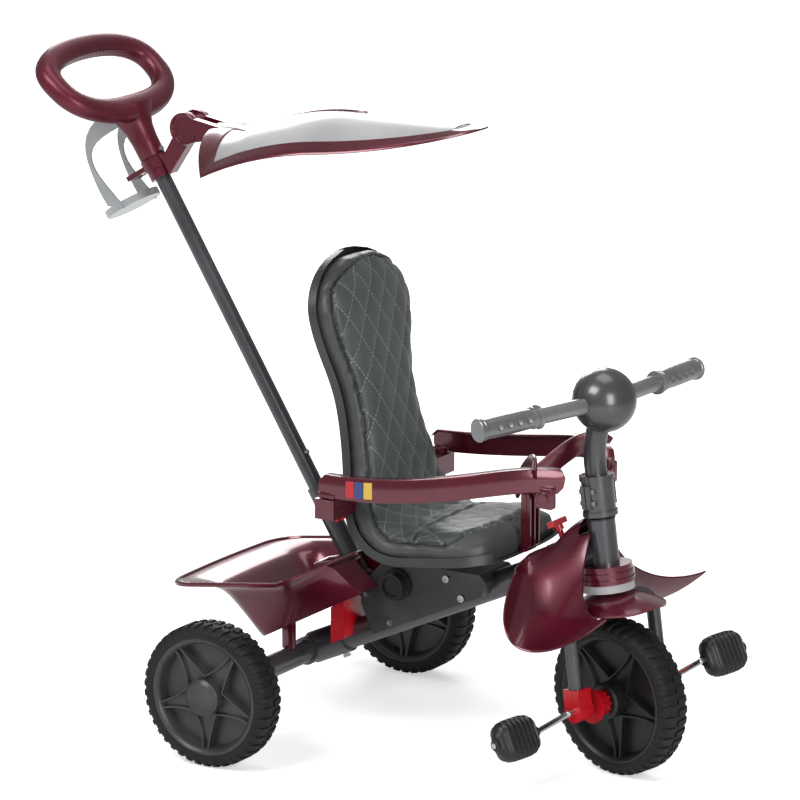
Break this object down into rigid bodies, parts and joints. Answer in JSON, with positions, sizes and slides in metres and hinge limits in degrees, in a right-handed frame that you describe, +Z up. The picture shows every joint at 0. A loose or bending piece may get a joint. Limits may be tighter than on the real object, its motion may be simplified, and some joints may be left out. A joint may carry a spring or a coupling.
{
  "type": "children's tricycle",
  "caption": "Children's tricycle with push handle, cup holder, tilting canopy, reclining padded seat, safety armrests, pedals and rear basket.",
  "frame": {"origin": "middle of the bounding box's footprint, on the floor under the wheels", "axes": "+X forward, +Y to the rider's left, +Z up"},
  "size_m": [1.0093, 0.5782, 0.9306],
  "materials": {
    "steel_grey_metallic": "metallic grey powder coat",
    "grey_plastic": "grey pearl moulded plastic",
    "zinc_steel": "zinc plated",
    "bright_steel": "bright drawn steel",
    "black_nylon": "moulded black plastic",
    "charcoal_plastic": "moulded charcoal plastic",
    "maroon_gloss": "maroon pearl, glossy",
    "maroon_satin": "maroon pearl, satin",
    "red_plastic": "red moulded plastic",
    "pale_plastic": "pale grey moulded plastic",
    "silver_plastic": "silver metallic plastic",
    "silver_grey_metallic": "silver grey metallic",
    "tyre_black": "moulded rubber",
    "pad_leatherette": "quilted grey leatherette"
  },
  "bodies": {
    "frame": {"main_tube": "steel_grey_metallic", "rear_beam": "steel_grey_metallic", "tee_collar": "steel_grey_metallic", "frame_screws": "zinc_steel", "rear_axle": "bright_steel", "frame_bushes": "black_nylon", "head_tube": "steel_grey_metallic", "housing_right": "charcoal_plastic", "housing_left": "charcoal_plastic", "rod_socket": "steel_grey_metallic", "basket": "maroon_gloss", "basket_bracket": "red_plastic", "front_wings": "maroon_gloss", "neck_collar": "maroon_gloss"},
    "lock_ring": {"lock_ring": "pale_plastic", "lock_tab": "red_plastic"},
    "wing_knob": {"wing_knob": "red_plastic"},
    "seat": {"seat_shell": "charcoal_plastic", "seat_pad": "pad_leatherette", "seat_bracket": "charcoal_plastic", "crotch_post": "maroon_gloss", "arm_blocks": "maroon_gloss"},
    "recline_knob": {"recline_knob": "black_nylon"},
    "armrest_right": {"armrest_right": "maroon_gloss"},
    "armrest_left": {"armrest_left": "maroon_gloss"},
    "release_right": {"release_button_right": "red_plastic"},
    "release_left": {"release_button_left": "red_plastic"},
    "latch_right": {"latch_button_right": "maroon_gloss"},
    "latch_left": {"latch_button_left": "maroon_gloss"},
    "push_rod": {"push_rod": "steel_grey_metallic", "rod_collar": "maroon_gloss", "ring_handle": "maroon_satin", "handle_screw": "zinc_steel", "cup_holder": "silver_plastic", "canopy_arm": "maroon_gloss"},
    "rod_button": {"rod_button": "zinc_steel"},
    "canopy": {"canopy_rim": "maroon_gloss", "canopy_panel": "pale_plastic"},
    "canopy_knob": {"canopy_knob": "maroon_gloss"},
    "steering": {"steerer": "steel_grey_metallic", "stem_clamp": "grey_plastic", "clamp_bolts": "zinc_steel", "bar_stem": "steel_grey_metallic", "ball_rear": "grey_plastic", "ball_front": "grey_plastic", "handlebar": "silver_grey_metallic", "grips": "silver_grey_metallic", "fork": "steel_grey_metallic", "front_fender": "maroon_gloss", "fork_ends": "red_plastic"},
    "front_wheel": {"front_tyre": "tyre_black", "front_rim": "black_nylon"},
    "crank": {"crank": "bright_steel"},
    "clutch": {"clutch_knob": "red_plastic"},
    "pedal_right": {"pedal_right": "black_nylon"},
    "pedal_left": {"pedal_left": "black_nylon"},
    "rear_wheel_right": {"rear_tyre_right": "tyre_black", "rear_rim_right": "charcoal_plastic"},
    "rear_wheel_left": {"rear_tyre_left": "tyre_black", "rear_rim_left": "charcoal_plastic"}
  },
  "joints": [
    {"name": "steering_turn", "type": "hinge", "parent": "frame", "child": "steering", "pos_m": [0.38614, 0, 0.10742], "axis": [-0.1305, 0, 0.9914], "range_deg": [-26, 54]},
    {"name": "lock_ring_turn", "type": "hinge", "parent": "frame", "child": "lock_ring", "pos_m": [0.38614, 0, 0.10742], "axis": [-0.1305, 0, 0.9914], "range_deg": [0, 40]},
    {"name": "wing_knob_turn", "type": "hinge", "parent": "frame", "child": "wing_knob", "pos_m": [0.30814, 0, 0.28776], "axis": [-0.4147, 0, 0.91], "range_deg": [0, 360]},
    {"name": "seat_recline", "type": "hinge", "parent": "frame", "child": "seat", "pos_m": [0.05914, 0, 0.226], "axis": [0, -1, 0], "range_deg": [0, 18]},
    {"name": "recline_knob_turn", "type": "hinge", "parent": "frame", "child": "recline_knob", "pos_m": [0.05914, 0, 0.226], "axis": [0, 1, 0], "range_deg": [0, 90]},
    {"name": "armrest_right_swing", "type": "hinge", "parent": "seat", "child": "armrest_right", "pos_m": [0.01414, -0.148, 0.366], "axis": [0, 0, -1], "range_deg": [0, 80]},
    {"name": "armrest_left_swing", "type": "hinge", "parent": "seat", "child": "armrest_left", "pos_m": [0.01414, 0.148, 0.366], "axis": [0, 0, 1], "range_deg": [0, 80]},
    {"name": "release_right_press", "type": "slide", "parent": "seat", "child": "release_right", "axis": [0, 0, 1], "range_m": [0, 0.003], "stiffness_N_per_m": 300, "springref_m": -0.002},
    {"name": "release_left_press", "type": "slide", "parent": "seat", "child": "release_left", "axis": [0, 0, 1], "range_m": [0, 0.003], "stiffness_N_per_m": 300, "springref_m": -0.002},
    {"name": "latch_right_press", "type": "slide", "parent": "armrest_right", "child": "latch_right", "axis": [0, 1, 0], "range_m": [0, 0.003], "stiffness_N_per_m": 300, "springref_m": -0.001},
    {"name": "latch_left_press", "type": "slide", "parent": "armrest_left", "child": "latch_left", "axis": [0, -1, 0], "range_m": [0, 0.003], "stiffness_N_per_m": 300, "springref_m": -0.001},
    {"name": "push_rod_slide", "type": "slide", "parent": "frame", "child": "push_rod", "axis": [-0.5225, 0, 0.8526], "range_m": [0, 0.06]},
    {"name": "rod_button_press", "type": "slide", "parent": "push_rod", "child": "rod_button", "axis": [-0.8526, 0, -0.5225], "range_m": [0, 0.003], "stiffness_N_per_m": 300, "springref_m": -0.001},
    {"name": "canopy_tilt", "type": "hinge", "parent": "push_rod", "child": "canopy", "pos_m": [-0.30253, 0, 0.82092], "axis": [0, -1, 0], "range_deg": [-12, 60]},
    {"name": "canopy_knob_turn", "type": "hinge", "parent": "push_rod", "child": "canopy_knob", "pos_m": [-0.30253, 0, 0.82092], "axis": [0, 1, 0], "range_deg": [0, 90]},
    {"name": "front_wheel_spin", "type": "hinge", "parent": "steering", "child": "front_wheel", "pos_m": [0.38614, 0, 0.10742], "axis": [0.2399, 0.9703, 0.0316], "continuous": true},
    {"name": "crank_spin", "type": "hinge", "parent": "steering", "child": "crank", "pos_m": [0.38614, 0, 0.10742], "axis": [0.2399, 0.9703, 0.0316], "continuous": true},
    {"name": "clutch_slide", "type": "slide", "parent": "crank", "child": "clutch", "axis": [-0.2399, -0.9703, -0.0316], "range_m": [0, 0.006]},
    {"name": "pedal_right_spin", "type": "hinge", "parent": "crank", "child": "pedal_right", "pos_m": [0.29759, -0.12828, 0.06658], "axis": [0.2399, 0.9703, 0.0316], "continuous": true},
    {"name": "pedal_left_spin", "type": "hinge", "parent": "crank", "child": "pedal_left", "pos_m": [0.47469, 0.12828, 0.14826], "axis": [0.2399, 0.9703, 0.0316], "continuous": true},
    {"name": "rear_wheel_right_spin", "type": "hinge", "parent": "frame", "child": "rear_wheel_right", "pos_m": [-0.10386, -0.258, 0.1], "axis": [0, 1, 0], "continuous": true},
    {"name": "rear_wheel_left_spin", "type": "hinge", "parent": "frame", "child": "rear_wheel_left", "pos_m": [-0.10386, 0.258, 0.1], "axis": [0, 1, 0], "continuous": true}
  ],
  "couplings": [
    {"joint": "crank_spin", "follows": "front_wheel_spin", "ratio": 1}
  ]
}
